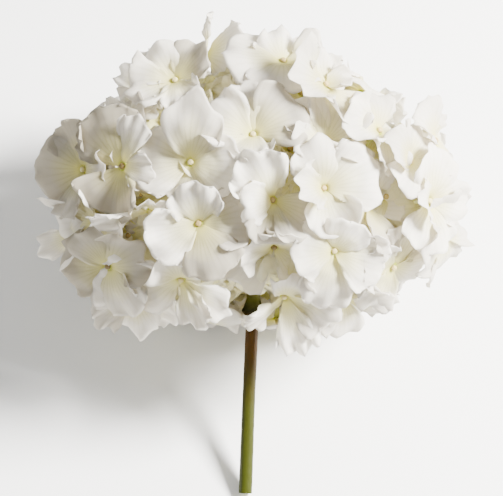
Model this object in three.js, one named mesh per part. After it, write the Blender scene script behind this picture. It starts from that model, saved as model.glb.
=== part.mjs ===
// A cut mophead hydrangea, lying on a table as it comes to rest: the cut end of the stem and the
// pressed underside of the head touch the table.
//
// It is built in the flower's own frame: x across, y up the stem from the cut end, and z towards
// the face of the head that lies uppermost. The whole flower is then leaned over about x.
import * as THREE from "three";

// Driving dimensions, in millimetres and degrees.
const STEM_LENGTH = 98; // from the cut end to the top of the crown, where the rays spring
const STEM_RADIUS = 3.0;
const CUT_SWELL = 0.15; // the stem thickens a little towards the cut
const STEM_SIDE = 4.1; // how far the crown stands to one side of the cut end
const STEM_BOW = 0.6;
const NODE_BELOW_CROWN = 12; // the node where the top pair of leaves was taken off
const NODE_LENGTH = 3;
const NODE_TAPER = 3.5;
const NODE_SWELL = 0.75;
const SCAR_SWELL = 0.16; // share by which the two leaf scars stand out of the node
const CROWN_LENGTH = 2;
const CROWN_TAPER = 4;
const STEM_SIDES = 16;

const HEAD_RISE = 42; // from the crown up to the widest part of the head
const HEAD_SIDE = 5.7; // how far the middle of the head stands to one side of the cut end
const HEAD_WIDTH = 96; // half sizes of the shell that the floret centres lie on
const HEAD_TOP = 68;
const HEAD_DEPTH = 76;
const HEAD_SQUARENESS = 2.3; // 2 is an ellipsoid, and more is boxier
const PRESSED_BY = 7; // how much the underside of the head is flattened by its own weight

const SIDE_RAYS = 5;
const RAY_BASE_RADIUS = 1.3; // where it springs from the crown
const RAY_RADIUS = 1.9;
const RAY_FLARE = 0.35; // share of a ray's length over which it thickens
const RAY_LEAD = 14; // how far a ray's curve is led straight up before it spreads
const HUB_RADIUS = 4.2; // the knuckle at the end of a ray, where its pedicels spring
const SIDE_HUB_REACH = 42; // out from the stem's line, across the head's width
const SIDE_HUB_RISE = 28; // above the crown
const TOP_HUB_RISE = 54;
const HUB_RINGS = [135, 90, 45]; // as angles from the hub's far end
const RAY_SIDES = 8;

const PEDICEL_BASE_RADIUS = 0.6;
const PEDICEL_RADIUS = 0.8;
const NECK_RADIUS = 1.0; // where it meets the petals
const PEDICEL_BEND = 0.1; // share of its length in which a pedicel turns to the floret's facing
const PETAL_THICKNESS = 1.1;
const PETAL_BELLY = 0.58; // share of its length out to which a petal keeps its thickness
const PETAL_REACH = 0.94; // share of a petal's full length that the solid fills, short of its frill
const NOTCH = 0.42; // depth of the notch between two petals, as a share of the petal's length
const NOTCH_ROUNDNESS = 0.7;
const CUP = 0.16; // how far a petal's tip rises, as a share of its length
const BUD_RADIUS = 1.7;
const BUD_HEIGHT = 2.3;
const FLORET_SIDES = 16; // four to each petal

const GAP = 0.35; // left between pieces that touch
const PETAL_GAP = 0.8; // left between the petals of neighbouring florets
const BACK_FLORETS = 21;
const BACK_PETAL = 25;
const BACK_PLACES = 600; // tried for the florets of the hidden side
const BACK_SHARE = 0.9; // its width and height, against those of the uppermost side
const STEM_CLEARANCE = 24; // no floret of the hidden side stands nearer the stem

// The florets of the uppermost side, one to a line: how far across and how far up the head, as
// shares of its half sizes, how far the floret stands out of the shell, its turn to the right,
// its tip upwards, the spin of its petals, and the petal length.
const FRONT_FLORETS = [
  // the middle of the face
  [-0.27, -0.21, 3, -6, -4, 12, 21],
  [0.07, -0.06, 1, 4, 2, 0, 20],
  [0.30, 0.01, 3, 14, 8, 38, 23],
  [0.35, -0.38, 3, 14, -14, 55, 22],
  [0.08, -0.43, -7, 2, -40, 45, 23],
  [-0.31, 0.19, 0, -14, 4, 48, 22],
  [-0.02, 0.37, 0, -6, 24, 15, 23],
  // the upper left
  [-0.60, 0.16, 5, -34, 4, 25, 25],
  [-0.82, 0.15, 0, -58, 0, 50, 24],
  [-0.38, 0.72, 3, -14, 26, 20, 21],
  [-0.57, 0.76, -5, -60, 36, 40, 19],
  [-0.69, 0.49, -5, -46, 42, 10, 21],
  [-0.29, 0.97, -4, -70, 24, 45, 20],
  // the crown of the head and the upper right
  [0.12, 0.85, 2, 8, 48, 10, 21],
  [0.32, 0.71, 0, 46, 32, 60, 19],
  [0.32, 0.34, -3, 22, 32, 25, 21],
  [0.57, 0.40, 0, 42, 34, 0, 22],
  [0.69, 0.19, 3, 46, 12, 30, 21],
  [0.84, 0.34, 0, 62, 22, 90, 21],
  // the right flank
  [0.77, -0.06, 5, 42, -2, 20, 23],
  [0.95, 0.04, -4, 84, 4, 45, 18],
  [0.87, -0.28, 2, 58, -18, 60, 22],
  [0.57, -0.09, -8, 44, 0, 85, 22],
  // the lower right
  [0.64, -0.50, 0, 38, -38, 20, 21],
  [0.42, -0.74, -2, 24, -52, 40, 20],
  [0.13, -0.74, -4, 6, -56, 70, 25],
  // the lower left
  [-0.36, -0.60, -2, -8, -44, 30, 24],
  [-0.60, -0.72, -2, -26, -46, 21, 22],
  [-0.70, -0.49, 1, -26, -22, 2, 24],
  [-0.52, -0.21, -7, -30, -50, 80, 21],
  [-0.79, -0.22, -3, -52, -10, 35, 21],
  [-0.92, -0.31, -4, -78, -16, 10, 19],
];

const radians = THREE.MathUtils.degToRad;
const alongX = new THREE.Vector3(1, 0, 0);
const alongY = new THREE.Vector3(0, 1, 0);
const NEARLY_UPRIGHT = 0.9;
const headCentre = new THREE.Vector3(HEAD_SIDE, STEM_LENGTH + HEAD_RISE, 0);
const cutRadius = STEM_RADIUS + CUT_SWELL;
const crownRadius = 3 * (RAY_BASE_RADIUS + GAP); // wide enough for the rays that stand on it

const LEAN_STEPS = 30; // enough for the lean to settle
// The lean at which the pressed underside of the head and the cut end share one table.
function leanAtRest() {
  const below = (lean) =>
    Math.hypot(HEAD_TOP * Math.sin(lean), HEAD_DEPTH * Math.cos(lean)) - PRESSED_BY;
  let lean = 0;
  for (let step = 0; step < LEAN_STEPS; step++)
    lean = Math.asin((below(lean) - cutRadius * Math.cos(lean)) / headCentre.y);
  return lean;
}
const LEAN = leanAtRest();

// The table as the flower's frame sees it: its upward normal, and the height of a point above it.
const tableUp = new THREE.Vector3(0, Math.sin(LEAN), Math.cos(LEAN));
const cutEndLift = cutRadius * Math.cos(LEAN);
const heightOf = (point) => point.dot(tableUp) + cutEndLift;

// Lifts a point that is under a height above the table up to that height.
function keepAbove(point, height) {
  const under = height - heightOf(point);
  return under > 0 ? point.addScaledVector(tableUp, under) : point;
}

// A direction across another one, as level as it can be.
function across(direction) {
  const upright = Math.abs(direction.y) > NEARLY_UPRIGHT;
  return new THREE.Vector3().crossVectors(upright ? alongX : alongY, direction).normalize();
}

// A closed solid of rings, each a function that gives the point at an angle around it. The first
// and the last ring are single points.
function ringSolid(rings, sides) {
  const last = rings.length - 1;
  const profile = rings.map((ring, i) => new THREE.Vector2(i === 0 || i === last ? 0 : 1, i));
  const geometry = new THREE.LatheGeometry(profile, sides);
  const place = geometry.attributes.position;
  for (let i = 0; i < place.count; i++) {
    const ring = rings[Math.round(place.getY(i))];
    const point = ring(Math.atan2(place.getZ(i), place.getX(i)));
    place.setXYZ(i, point.x, point.y, point.z);
  }
  return geometry;
}

// The direction at an angle around an axis, from a first direction across it.
function around(first, axis, angle) {
  return first.clone().applyAxisAngle(axis, -angle);
}

// A ring of some radius around a curve, at a share of the curve's length.
function ringOn(curve, share, radius, shape = () => 1) {
  const axis = curve.getTangentAt(share);
  const first = across(curve.getTangentAt(0)).projectOnPlane(axis).normalize();
  const middle = curve.getPointAt(share);
  return (angle) =>
    middle.clone().addScaledVector(around(first, axis, angle), radius * shape(angle));
}

const stemLine = new THREE.QuadraticBezierCurve3(
  new THREE.Vector3(0, 0, 0),
  new THREE.Vector3(STEM_SIDE / 2 - STEM_BOW, STEM_LENGTH / 2, 0),
  new THREE.Vector3(STEM_SIDE, STEM_LENGTH, 0),
);
const crown = stemLine.getPointAt(1);

function stemGeometry() {
  const node = STEM_LENGTH - NODE_BELOW_CROWN;
  const scars = (angle) => 1 + SCAR_SWELL * Math.cos(2 * angle);
  const at = (height, radius, shape) => ringOn(stemLine, height / STEM_LENGTH, radius, shape);
  const rings = [
    at(0, 0),
    at(0, cutRadius),
    at(node / 2, STEM_RADIUS),
    at(node - NODE_LENGTH / 2 - NODE_TAPER, STEM_RADIUS),
    at(node - NODE_LENGTH / 2, STEM_RADIUS + NODE_SWELL, scars),
    at(node + NODE_LENGTH / 2, STEM_RADIUS + NODE_SWELL, scars),
    at(node + NODE_LENGTH / 2 + NODE_TAPER, STEM_RADIUS),
    at(STEM_LENGTH - CROWN_LENGTH - CROWN_TAPER, STEM_RADIUS),
    at(STEM_LENGTH - CROWN_LENGTH, crownRadius),
    at(STEM_LENGTH, crownRadius),
    at(STEM_LENGTH, 0),
  ];
  return ringSolid(rings, STEM_SIDES);
}

// Where the rays end: one hub over the crown, and a ring of hubs as oval as the head.
function hubs() {
  const places = [crown.clone().add(new THREE.Vector3(0, TOP_HUB_RISE, 0))];
  for (let i = 0; i < SIDE_RAYS; i++) {
    const angle = radians(90 + (360 / SIDE_RAYS) * i);
    const out = new THREE.Vector3(Math.cos(angle), 0, (Math.sin(angle) * HEAD_DEPTH) / HEAD_WIDTH);
    out.multiplyScalar(SIDE_HUB_REACH).setY(SIDE_HUB_RISE);
    places.push(out.add(crown));
  }
  return places;
}

// A ray rises from the crown and ends in a round hub.
function rayGeometry(hub) {
  const upStem = stemLine.getTangentAt(1);
  const spring = hub.clone().sub(crown).setY(0);
  if (spring.length() > 0) spring.setLength(2 * (RAY_BASE_RADIUS + GAP));
  const base = crown.clone().add(spring).addScaledVector(upStem, GAP);
  const lead = base.clone().addScaledVector(upStem, RAY_LEAD);
  const end = hub.clone().addScaledVector(hub.clone().sub(lead).normalize(), HUB_RADIUS);
  const line = new THREE.QuadraticBezierCurve3(base, lead, end);
  const length = line.getLength();
  const hubRing = (angle) =>
    ringOn(line, 1 - (HUB_RADIUS * (1 - Math.cos(angle))) / length, HUB_RADIUS * Math.sin(angle));
  const rings = [
    ringOn(line, 0, 0),
    ringOn(line, 0, RAY_BASE_RADIUS),
    ringOn(line, RAY_FLARE, RAY_RADIUS),
    ringOn(line, 1 - (2 * HUB_RADIUS) / length, RAY_RADIUS),
    ...HUB_RINGS.map((angle) => hubRing(radians(angle))),
    ringOn(line, 1, 0),
  ];
  return ringSolid(rings, RAY_SIDES);
}

// The point of the shell's uppermost side over shares of the head's half sizes.
function shellOver(acrossShare, upShare) {
  const used = Math.abs(acrossShare) ** HEAD_SQUARENESS + Math.abs(upShare) ** HEAD_SQUARENESS;
  const depth = HEAD_DEPTH * Math.max(0, 1 - used) ** (1 / HEAD_SQUARENESS);
  return new THREE.Vector3(acrossShare * HEAD_WIDTH, upShare * HEAD_TOP, depth).add(headCentre);
}

// The outward normal of the shell at a point on it.
function shellNormal(point) {
  const from = point.clone().sub(headCentre);
  const slope = (value, half) =>
    (Math.sign(value) * Math.abs(value / half) ** (HEAD_SQUARENESS - 1)) / half;
  return new THREE.Vector3(
    slope(from.x, HEAD_WIDTH),
    slope(from.y, HEAD_TOP),
    slope(from.z, HEAD_DEPTH),
  ).normalize();
}

function frontFlorets() {
  return FRONT_FLORETS.map(([acrossShare, upShare, lift, turn, tip, spin, petal]) => {
    const facing = new THREE.Vector3(
      Math.sin(radians(turn)) * Math.cos(radians(tip)),
      Math.sin(radians(tip)),
      Math.cos(radians(turn)) * Math.cos(radians(tip)),
    );
    const centre = shellOver(acrossShare, upShare).addScaledVector(facing, lift);
    return { centre, facing, spin: radians(spin), petal };
  });
}

// A point of the shell in some direction from the middle of the head.
function shellPoint(direction) {
  const share =
    Math.abs(direction.x / HEAD_WIDTH) ** HEAD_SQUARENESS +
    Math.abs(direction.y / HEAD_TOP) ** HEAD_SQUARENESS +
    Math.abs(direction.z / HEAD_DEPTH) ** HEAD_SQUARENESS;
  return direction.multiplyScalar(share ** (-1 / HEAD_SQUARENESS)).add(headCentre);
}

// Where a floret of the side that lies on the table could stand.
function backPlaces() {
  const golden = Math.PI * (3 - Math.sqrt(5));
  const places = [];
  for (let i = 0; i < BACK_PLACES; i++) {
    const depth = (i + 0.5) / BACK_PLACES;
    const ring = Math.sqrt(1 - depth * depth);
    const direction = new THREE.Vector3(ring * Math.cos(golden * i), ring * Math.sin(golden * i), -depth);
    const onShell = shellPoint(direction);
    const facing = shellNormal(onShell);
    const drawnIn = new THREE.Vector3(BACK_SHARE, BACK_SHARE, 1);
    const centre = onShell.sub(headCentre).multiply(drawnIn).add(headCentre);
    const byStem = centre.y < headCentre.y && Math.hypot(centre.x - crown.x, centre.z) < STEM_CLEARANCE;
    if (!byStem) places.push({ centre: keepAbove(centre, BUD_HEIGHT + GAP), facing });
  }
  return places;
}

// Each floret of the hidden side in turn takes the place that lies farthest from all the others.
function backFlorets(front) {
  const florets = [...front];
  const places = backPlaces();
  const room = (place) => Math.min(...florets.map((one) => one.centre.distanceTo(place.centre)));
  for (let i = 0; i < BACK_FLORETS; i++) {
    const best = places.reduce((a, b) => (room(b) > room(a) ? b : a));
    florets.push({ ...best, spin: i, petal: BACK_PETAL });
  }
  return florets.slice(front.length);
}

// Draws a point of a floret in until it is on its own side of the halfway plane to each neighbour.
function keepInCell(point, floret, others) {
  const offset = point.sub(floret.centre);
  for (const other of others) {
    if (other === floret) continue;
    const way = other.centre.clone().sub(floret.centre);
    const room = way.length() / 2 - PETAL_GAP / 2;
    const reach = offset.dot(way.normalize());
    if (reach > room) offset.multiplyScalar(room / reach);
  }
  return point.add(floret.centre);
}

// One floret: a bud at the middle of four joined petals, on a pedicel that bends to its hub.
function floretGeometry(floret, others, hub) {
  const { centre, facing } = floret;
  const first = around(across(facing), facing, floret.spin);
  const length = floret.petal * PETAL_REACH;
  const half = PETAL_THICKNESS / 2;
  const neck = centre.clone().addScaledVector(facing, -PETAL_THICKNESS);
  const bend = centre.clone().addScaledVector(facing, -PEDICEL_BEND * centre.distanceTo(hub));
  const spring = bend.clone().sub(hub).setLength(HUB_RADIUS + GAP).add(hub);
  const pedicel = new THREE.QuadraticBezierCurve3(spring, bend, neck);
  const onFloret = (out, height) => (angle) =>
    centre.clone().addScaledVector(around(first, facing, angle), out).addScaledVector(facing, height);
  const onPetals = (share, height) => (angle) => {
    const lobe = 1 - NOTCH * (1 - Math.abs(Math.cos(2 * angle)) ** NOTCH_ROUNDNESS);
    const point = onFloret(length * lobe * share, CUP * length * share ** 2 + height)(angle);
    return keepInCell(keepAbove(point, half - height), floret, others);
  };
  const rings = [
    ringOn(pedicel, 0, 0),
    ringOn(pedicel, 0, PEDICEL_BASE_RADIUS),
    ringOn(pedicel, 0.5, PEDICEL_RADIUS),
    ringOn(pedicel, 1, NECK_RADIUS),
    onPetals(PETAL_BELLY, -half),
    onPetals(1, 0),
    onPetals(PETAL_BELLY, half),
    onFloret(BUD_RADIUS, half),
    onFloret(0, BUD_HEIGHT),
  ];
  return ringSolid(rings, FLORET_SIDES);
}

const petalWhite = { color: 0xf4f1e6, roughness: 0.55, metalness: 0 };
const stemGreen = { color: 0x76803a, roughness: 0.5, metalness: 0 };
const rayGreen = { color: 0xb9c077, roughness: 0.6, metalness: 0 };

function piece(name, geometry, look) {
  const mesh = new THREE.Mesh(geometry, new THREE.MeshStandardMaterial(look));
  mesh.name = name;
  return mesh;
}

const numbered = (word, i) => word + "_" + String(i + 1).padStart(2, "0");

function buildFlower() {
  const flower = new THREE.Group();
  flower.add(piece("stem", stemGeometry(), stemGreen));
  const ends = hubs();
  ends.forEach((hub, i) => flower.add(piece(numbered("ray", i), rayGeometry(hub), rayGreen)));
  const front = frontFlorets();
  const florets = [...front, ...backFlorets(front)];
  florets.forEach((floret, i) => {
    const nearest = ends.reduce((best, hub) =>
      hub.distanceTo(floret.centre) < best.distanceTo(floret.centre) ? hub : best,
    );
    flower.add(piece(numbered("floret", i), floretGeometry(floret, florets, nearest), petalWhite));
  });
  return flower;
}

// Lays the flower down and puts the origin under the middle of it, on the table.
function layDown(flower) {
  flower.rotation.x = LEAN;
  const part = new THREE.Group();
  part.add(flower);
  part.updateMatrixWorld(true);
  const box = new THREE.Box3().setFromObject(part, true);
  flower.position.set(-(box.min.x + box.max.x) / 2, -(box.min.y + box.max.y) / 2, -box.min.z);
  return part;
}

export default layDown(buildFlower());
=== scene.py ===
"""The looks of a cut mophead hydrangea that lies on a pale table.

Every floret of the CAD part is rebuilt where its node stands, from thin ruffled petals, a bud and
a pedicel. Smaller florets fill the head behind them. Lengths are in metres, as in the frame.
"""

import math
from dataclasses import dataclass, replace

import bmesh
import bpy
import numpy as np
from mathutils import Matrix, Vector, noise


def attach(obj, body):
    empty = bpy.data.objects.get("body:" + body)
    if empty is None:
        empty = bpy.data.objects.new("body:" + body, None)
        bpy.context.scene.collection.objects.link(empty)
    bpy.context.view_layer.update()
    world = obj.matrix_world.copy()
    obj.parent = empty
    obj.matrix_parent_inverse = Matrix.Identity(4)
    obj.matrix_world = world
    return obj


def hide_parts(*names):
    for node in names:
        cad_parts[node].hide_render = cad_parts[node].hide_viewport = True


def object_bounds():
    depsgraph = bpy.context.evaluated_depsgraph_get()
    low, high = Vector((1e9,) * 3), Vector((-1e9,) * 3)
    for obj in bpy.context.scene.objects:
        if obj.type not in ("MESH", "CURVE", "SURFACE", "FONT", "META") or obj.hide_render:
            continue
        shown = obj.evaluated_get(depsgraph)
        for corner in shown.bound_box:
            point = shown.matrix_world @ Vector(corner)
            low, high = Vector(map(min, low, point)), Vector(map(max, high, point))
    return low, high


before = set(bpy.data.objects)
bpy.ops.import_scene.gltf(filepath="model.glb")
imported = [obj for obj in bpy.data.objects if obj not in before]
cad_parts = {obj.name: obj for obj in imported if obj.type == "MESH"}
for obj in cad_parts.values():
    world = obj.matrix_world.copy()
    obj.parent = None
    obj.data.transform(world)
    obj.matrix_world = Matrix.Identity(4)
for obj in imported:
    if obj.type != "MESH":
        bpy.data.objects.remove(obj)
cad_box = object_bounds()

MM = 0.001
BODY = "root"
PETALS = 4
ANY_WAY = [0.3, 0.8, 0.5]  # a direction that no tube here runs along

# How the points of a CAD floret are told apart
BUD_CROWD = 3 * MM  # the points of the bud lie this near to one another
FOOT_REACH = 2 * MM
PETAL_START_REACH = 4 * MM  # petals lie further than this from the line of the stalk
SOLID_REACH = 0.94  # the CAD petals stop this share of the way to the real petals' tips

# Petals
PETAL_ROWS = 15
PETAL_COLUMNS = 21
ROW_SPACING = 0.8  # below 1, rows lie closer together towards the rim
PETAL_THICKNESS = 0.30 * MM
RIM_THINNING = 0.65  # share of the thickness that is gone at a petal's rim
PETAL_START = 0.7 * MM  # petals begin this far from the floret's axis
RIM_NARROWING = 0.1  # share by which the fan draws in again at the rim
POINT_WIDTH = 0.16  # as a share of half the fan
RIM_LOBES = [(0.025, 7, 1.0), (0.018, 15, 2.3)]  # height as a share of the length, pace, shift
RIPPLES = 2.7  # small ripples of the rim to one of its waves
FIRM_SHARE = 0.4  # of a petal's length, in which it is held flat by its base
SWELL_WIDTH = 9 * MM
SWELL_HEIGHT = 1.6 * MM
SMALL_SWELLS = 3.1  # to one broad swell
SMALL_SWELL_HEIGHT = 0.3 * MM
SWELL_START = 8 * MM  # swells grow from nothing to their full height up to here
BEND_FROM, BEND_TO = -0.2, 1.3  # shares of the length between which the bend is worked out
BEND_STEPS = 90
TABLE_GAP = 0.4 * MM
TABLE_PRESS = 12 * MM  # points this far below the table are pressed to a third of the gap above it

# How far petals may stand out of the hull of the outer florets' centres
PAST_FACE = 17 * MM
PAST_RIM = 9 * MM
PAST_BACK = 13 * MM
PAST_PORTRAIT = 26 * MM
PAST_INNER = -4 * MM
SIDEWAYS = 0.25  # florets that lean to or from the camera by less than this are on the rim
HULL_BLEND = 8 * MM  # corners of the hull are rounded over about this distance
FIT_TRIES = 6
FIT_ROWS = 6
FIT_COLUMNS = 7

# How petals lie over or under those of the next floret
NEIGHBOUR_REACH = 2.1  # petal lengths
FULL_STEP = 3 * MM  # a floret this much higher lies wholly over its neighbour
FREE_LEVEL = 0.6  # how high petals lie where there is no neighbour
RANK_RANGE = 1.5 * MM  # florets are lifted or sunk by chance, by up to this much
HABITS = [0.0, 0.15, 0.4]  # some florets open flat, and some are cupped
ANGLE_RANGE = 0.13  # how far a petal strays from its quarter of the floret
RIPEST_BY_CHANCE = 0.55

# Buds, the collars under them, and pedicels
BUD_RADIUS = 1.45 * MM
BUD_SIDES = 24
BUD_RINGS = 9
BUD_TIP = 0.12  # angles from the bud's axis at which its rings start and end
BUD_SEAT = 0.35
BUD_GROOVE = 0.09  # depth of the four seams between its scales, as a share of its radius
BUD_TURN = 0.4
BUD_HEIGHT = 0.95  # these three as shares of its radius
BUD_LIFT = 0.75
BUD_DIMPLE = 0.25
BUD_DIMPLE_WIDTH = 0.35  # radians
COLLAR_RADIUS = 2.3 * MM
COLLAR_SHARES = np.array([0.3, 0.8, 1.0, 0.8, 0.3])
COLLAR_HEIGHTS = np.array([-0.5, -0.4, 0.1, 0.5, 0.55]) * MM
COLLAR_LOBES = 0.14
PEDICEL_SEAT = 0.6 * MM  # a pedicel ends this far below the floret's centre
PEDICEL_FOOT_RADIUS = 0.6 * MM
PEDICEL_TOP_RADIUS = 0.75 * MM
PEDICEL_FLARE = 0.6 * MM
PEDICEL_SIDES = 8
PEDICEL_RINGS = 12

# The smaller florets behind the outer ones
INNER_ROWS = 12
INNER_COLUMNS = 17
INNER_PETAL = 21 * MM
INNER_SHIFT = 2 * MM
INNER_LEAN = 0.2
FLOOR_ROOM = 5 * MM  # none stands lower than this
STEM_ROOM = 22 * MM  # none stands nearer to the stem below the crown
CROWN_ROOM = 12 * MM

# Stem and rays
STEM_SIDES = 48
STEM_RINGS = 220
RING_GAP = 0.7 * MM  # the CAD stem's rings lie further apart than this
RIDGES = 5
RIDGE_TURN = 2.5  # how far the ridges twist along the stem, in radians
RIDGE_HEIGHT = 0.02  # these four as shares of the radius
SCAR_HEIGHT = 0.2
LUMP_HEIGHT = 0.03
GRAIN_HEIGHT = 0.008
LUMPS = 26  # along the stem
NODE_PLACE = 0.868  # of the way from the cut end to the crown
NODE_REACH = 0.014
PATH_SMOOTHING = 9  # rings
RADIUS_SMOOTHING = 7
CUT_SHARES = np.array([0.04, 0.3, 0.6, 0.85, 0.96])  # rings of the cut face
CUT_HOLLOW = 0.35 * MM
RAY_SMOOTHING = 2  # subdivisions
WELD = 0.01 * MM

# Camera and light
VIEW_DISTANCE = 1.7
VIEW_WIDTH = 0.2325  # how wide the picture is at the middle of the object
VIEW_UP = 0.1145  # how far above the cut end the picture's middle is, along the stem
VIEW_SIDE = -0.0048
SENSOR_WIDTH = 36.0
TABLE_SIDE = 6.0
TABLE_COLOUR = (0.93, 0.93, 0.925, 1)
SKY = 0.62


# ---- measuring the frame


def node_points(node):
    """The distinct vertices of a CAD node."""
    points = np.array([v.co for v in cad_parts[node].data.vertices])
    return np.unique(points.round(6), axis=0)


def unit(vector):
    return vector / np.linalg.norm(vector)


def ring_centres(points, axis, apart):
    """Centres and radii of the rings that a bent round solid was made of, in order along an axis."""
    height = points @ axis
    order = np.argsort(height)
    breaks = np.where(np.diff(height[order]) > apart)[0] + 1
    rings = []
    for group in np.split(order, breaks):
        centre = points[group].mean(axis=0)
        radius = np.linalg.norm(points[group] - centre, axis=1).max()
        rings.append((centre, radius))
    return rings


@dataclass
class Floret:
    """Where a floret stands and how it is turned. Directions have a length of 1."""

    name: str
    centre: np.ndarray
    facing: np.ndarray
    first: np.ndarray  # direction of the first petal
    petal: float  # length of a petal
    foot: np.ndarray  # where the pedicel springs from its ray
    depth: float  # 0 on the outside of the head and 1 deep inside it
    seed: int  # of its own random draws

    def basis(self):
        """Columns: the first petal's direction, the direction left of it, and the facing."""
        return np.column_stack([self.first, np.cross(self.facing, self.first), self.facing])


@dataclass
class Picture:
    """The camera's directions: to the right, up the stem, and from the flower back to the camera."""

    right: np.ndarray
    up: np.ndarray
    back: np.ndarray


def read_floret(node, seed):
    """Finds where a CAD floret stands, which way it faces, and how its petals are turned."""
    points = node_points(node)
    near = np.linalg.norm(points[:, None] - points[None], axis=2) < BUD_CROWD
    centre = points[near[near.sum(axis=1).argmax()]].mean(axis=0)
    offset = points - centre
    far = offset[np.linalg.norm(offset, axis=1).argmax()]
    foot = points[np.linalg.norm(offset - far, axis=1) < FOOT_REACH].mean(axis=0)
    stalk = unit(foot - centre)
    off_stalk = np.linalg.norm(offset - np.outer(offset @ stalk, stalk), axis=1)
    petals = offset[off_stalk > PETAL_START_REACH]
    spread = np.linalg.svd(petals - petals.mean(axis=0))[2]
    facing = spread[2] * -np.sign(spread[2] @ stalk)
    flat = petals - np.outer(petals @ facing, facing)
    reach = np.linalg.norm(flat, axis=1)
    side = unit(spread[0] - facing * (spread[0] @ facing))
    other = np.cross(facing, side)
    turn = np.arctan2(flat @ other, flat @ side)
    phase = np.angle(np.sum(reach**3 * np.exp(1j * PETALS * turn))) / PETALS
    first = side * math.cos(phase) + other * math.sin(phase)
    return Floret(node, centre, facing, first, reach.max() / SOLID_REACH, foot, depth=0.0, seed=seed)


def nodes_named(start):
    return sorted(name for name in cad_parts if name.startswith(start))


def stem_rings():
    """Centres and radii of the CAD stem's rings, from the cut end to the crown."""
    points = node_points("stem")
    axis = np.linalg.svd(points - points.mean(axis=0))[2][0]
    return ring_centres(points, axis * np.sign(axis[1]), RING_GAP)


def read_picture(cut, crown):
    """The camera looks square on to the stem, which stands upright in the picture."""
    rise = math.atan2(crown[2] - cut[2], crown[1] - cut[1])
    return Picture(
        right=np.array([1.0, 0.0, 0.0]),
        up=np.array([0.0, math.cos(rise), math.sin(rise)]),
        back=np.array([0.0, -math.sin(rise), math.cos(rise)]),
    )


# ---- meshes


class Shell:
    """Collects vertices, faces, one material number a face and some numbers a vertex."""

    def __init__(self):
        self.points = []
        self.faces = []
        self.materials = []
        self.marks = {"along": [], "fan": [], "depth": [], "tone": []}
        self.count = 0

    def add(self, points, faces, material, **marks):
        self.points.append(points)
        self.faces.extend([tuple(self.count + i for i in face) for face in faces])
        self.materials.extend([material] * len(faces))
        for name, values in self.marks.items():
            values.append(np.broadcast_to(marks.get(name, 0.0), len(points)))
        self.count += len(points)

    def build(self, name, materials):
        mesh = bpy.data.meshes.new(name)
        mesh.from_pydata(np.concatenate(self.points).tolist(), [], self.faces)
        for material in materials:
            mesh.materials.append(material)
        mesh.polygons.foreach_set("material_index", self.materials)
        mesh.polygons.foreach_set("use_smooth", [True] * len(self.faces))
        for mark, values in self.marks.items():
            layer = mesh.attributes.new(mark, "FLOAT", "POINT")
            layer.data.foreach_set("value", np.concatenate(values).astype(np.float32))
        mesh.update()
        piece = bpy.data.objects.new(name, mesh)
        bpy.context.collection.objects.link(piece)
        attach(piece, BODY)
        return piece


def grid_faces(rows, columns):
    """Faces of a closed sheet: a top grid, a bottom grid, and a rim that joins them."""
    top = [
        (r * columns + c, r * columns + c + 1, (r + 1) * columns + c + 1, (r + 1) * columns + c)
        for r in range(rows - 1)
        for c in range(columns - 1)
    ]
    below = rows * columns
    bottom = [tuple(below + i for i in reversed(face)) for face in top]
    edge = list(range(columns))
    edge += [r * columns + columns - 1 for r in range(1, rows)]
    edge += [(rows - 1) * columns + c for c in range(columns - 2, -1, -1)]
    edge += [r * columns for r in range(rows - 2, 0, -1)]
    rim = [(b, a, below + a, below + b) for a, b in zip(edge, edge[1:] + edge[:1])]
    return top + bottom + rim


def tube_faces(rings, sides):
    """Faces of a tube whose two ends are closed with one face each."""
    wall = []
    for ring in range(rings - 1):
        for side in range(sides):
            beside = (side + 1) % sides
            low, high = ring * sides, (ring + 1) * sides
            wall.append((low + side, low + beside, high + beside, high + side))
    start = tuple(reversed(range(sides)))
    end = tuple((rings - 1) * sides + side for side in range(sides))
    return wall + [start, end]


def ring_angles(sides):
    return np.arange(sides) * 2 * math.pi / sides


def tube_points(path, radii, sides):
    """Rings of points around a path, without twist."""
    path = np.asarray(path)
    tangents = np.gradient(path, axis=0)
    tangents /= np.linalg.norm(tangents, axis=1)[:, None]
    side = unit(np.cross(tangents[0], ANY_WAY))
    angles = ring_angles(sides)
    rings = []
    for centre, tangent, radius in zip(path, tangents, radii):
        side = unit(side - tangent * (side @ tangent))
        other = np.cross(tangent, side)
        ring = np.outer(np.cos(angles), side) + np.outer(np.sin(angles), other)
        rings.append(centre + ring * radius)
    return np.concatenate(rings)


def bezier(points, steps):
    """Points along a cubic curve through two ends with two handles."""
    t = np.linspace(0, 1, steps)[:, None]
    a, b, c, d = points
    return a * (1 - t) ** 3 + 3 * b * t * (1 - t) ** 2 + 3 * c * t**2 * (1 - t) + d * t**3


# ---- petals


@dataclass
class PetalForm:
    """The shape of one petal. Angles are in radians and lengths in metres."""

    length: float
    spread: float = 1.0  # half the angle that the petal fans out to
    shoulder: float = 0.2  # share of its length that is gone at the fan's two sides
    point: float = 0.05  # a slight point in the middle of the rim
    rise: float = 0.3  # slope at the base
    bend: float = -0.6  # change of slope from the base to the tip
    roll: float = 0.12  # how far the two sides curve up, as a share of the width
    twist: float = 0.15  # one side up, the other down
    ruffle: float = 1.0 * MM
    waves: float = 1.6
    frill: float = 0.3 * MM  # small waves along the rim
    phase: float = 0.0
    # How far the petal is greyed with painted shade, as if it lay in shade.
    curl: float = 0.8 * MM  # how far the rim turns back
    painted_shade: float = 0.2
    seed: float = 0.0


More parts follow.
